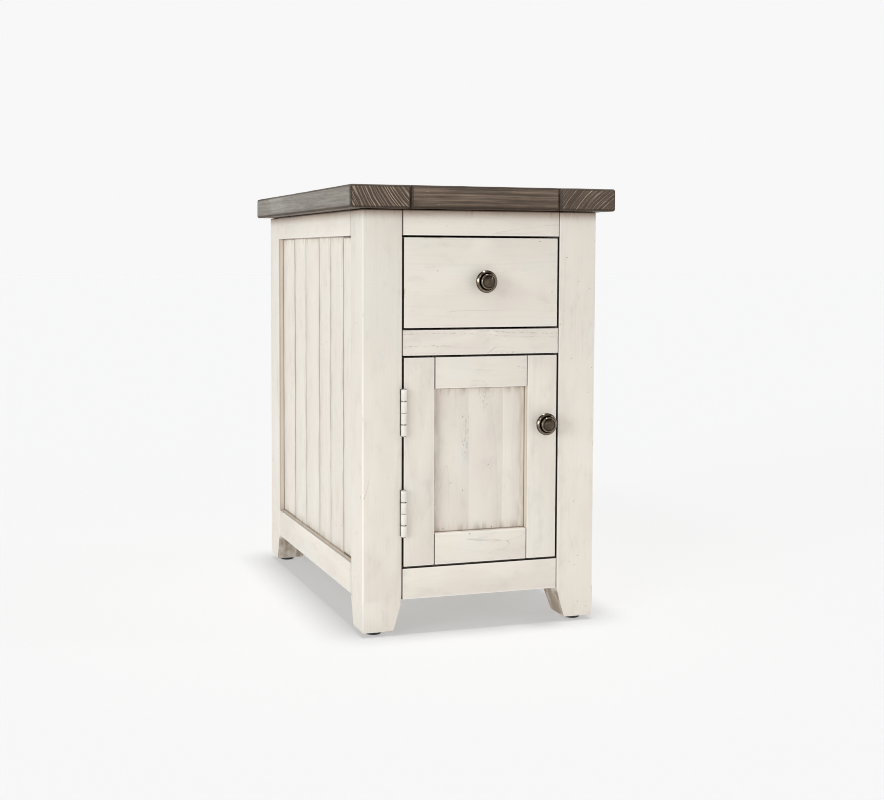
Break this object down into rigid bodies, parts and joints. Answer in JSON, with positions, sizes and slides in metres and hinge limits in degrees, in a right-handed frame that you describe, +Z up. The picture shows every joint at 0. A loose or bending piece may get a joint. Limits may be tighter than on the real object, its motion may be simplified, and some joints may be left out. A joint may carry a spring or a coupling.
{
  "type": "side table with drawer",
  "caption": "Narrow chairside cabinet table with a plank top, tapered square posts, a drawer over a framed door, round knobs and plank side panels.",
  "frame": {"origin": "on the floor under the middle of the bounding box, knobs and overhanging top included", "axes": "+Z up, +X to the right seen from the front, +Y towards the back; the drawer and door face -Y"},
  "size_m": [0.4, 0.62, 0.635],
  "materials": {
    "painted_wood": "ivory white-wash paint over wood grain, satin, lightly worn with brown glaze in the corners",
    "stained_top_wood": "weathered grey-brown stain, satin, distressed edges and open end grain",
    "raw_wood": "plain unfinished softwood, planed",
    "antique_bronze": "dark antique bronze, softly polished, rubbed lighter on the rims",
    "painted_hinge_metal": "ivory paint over steel, satin",
    "zinc_steel": "bright zinc plate",
    "black_plastic": "matt black plastic",
    "catch_plastic": "matt brown plastic"
  },
  "bodies": {
    "cabinet": {"top_board_left": "stained_top_wood", "top_board_right": "stained_top_wood", "top_board_front": "stained_top_wood", "top_board_back": "stained_top_wood", "top_center_planks": "stained_top_wood", "leg_front_left": "painted_wood", "leg_front_right": "painted_wood", "leg_back_left": "painted_wood", "leg_back_right": "painted_wood", "foot_glide_front_left": "black_plastic", "foot_glide_front_right": "black_plastic", "foot_glide_back_left": "black_plastic", "foot_glide_back_right": "black_plastic", "front_rail_top": "painted_wood", "front_rail_middle": "painted_wood", "front_rail_bottom": "painted_wood", "side_rail_top_left": "painted_wood", "side_rail_top_right": "painted_wood", "side_rail_bottom_left": "painted_wood", "side_rail_bottom_right": "painted_wood", "back_rail_top": "painted_wood", "back_rail_bottom": "painted_wood", "side_planks_left": "painted_wood", "side_planks_right": "painted_wood", "back_panel": "painted_wood", "cabinet_floor": "painted_wood", "corner_block_front_left": "raw_wood", "corner_block_front_right": "raw_wood", "corner_block_back_left": "raw_wood", "corner_block_back_right": "raw_wood", "slide_board_left": "raw_wood", "slide_board_right": "raw_wood", "slide_outer_left": "zinc_steel", "slide_outer_right": "zinc_steel", "hinge_lower_frame_leaf": "painted_hinge_metal", "hinge_upper_frame_leaf": "painted_hinge_metal", "hinge_lower_pin": "painted_hinge_metal", "hinge_upper_pin": "painted_hinge_metal", "magnetic_catch": "catch_plastic"},
    "slide_member_left": {"slide_middle_left": "zinc_steel"},
    "slide_member_right": {"slide_middle_right": "zinc_steel"},
    "drawer": {"drawer_front": "painted_wood", "drawer_side_left": "raw_wood", "drawer_side_right": "raw_wood", "drawer_back": "raw_wood", "drawer_bottom": "raw_wood", "drawer_knob": "antique_bronze", "drawer_knob_screw": "zinc_steel", "slide_inner_left": "zinc_steel", "slide_inner_right": "zinc_steel"},
    "door": {"door_stile_left": "painted_wood", "door_stile_right": "painted_wood", "door_rail_top": "painted_wood", "door_rail_bottom": "painted_wood", "door_panel": "painted_wood", "door_knob": "antique_bronze", "door_knob_screw": "zinc_steel", "hinge_lower_door_leaf": "painted_hinge_metal", "hinge_upper_door_leaf": "painted_hinge_metal", "catch_strike_plate": "zinc_steel"}
  },
  "joints": [
    {"name": "drawer_slide", "type": "slide", "parent": "cabinet", "child": "drawer", "axis": [0, -1, 0], "range_m": [0, 0.4]},
    {"name": "slide_member_left_travel", "type": "slide", "parent": "cabinet", "child": "slide_member_left", "axis": [0, -1, 0], "range_m": [0, 0.2]},
    {"name": "slide_member_right_travel", "type": "slide", "parent": "cabinet", "child": "slide_member_right", "axis": [0, -1, 0], "range_m": [0, 0.2]},
    {"name": "door_hinge", "type": "hinge", "parent": "cabinet", "child": "door", "pos_m": [-0.1179, -0.2846, 0.24625], "axis": [0, 0, -1], "range_deg": [0, 175]}
  ],
  "couplings": [
    {"joint": "slide_member_left_travel", "follows": "drawer_slide", "ratio": 0.5},
    {"joint": "slide_member_right_travel", "follows": "drawer_slide", "ratio": 0.5}
  ]
}
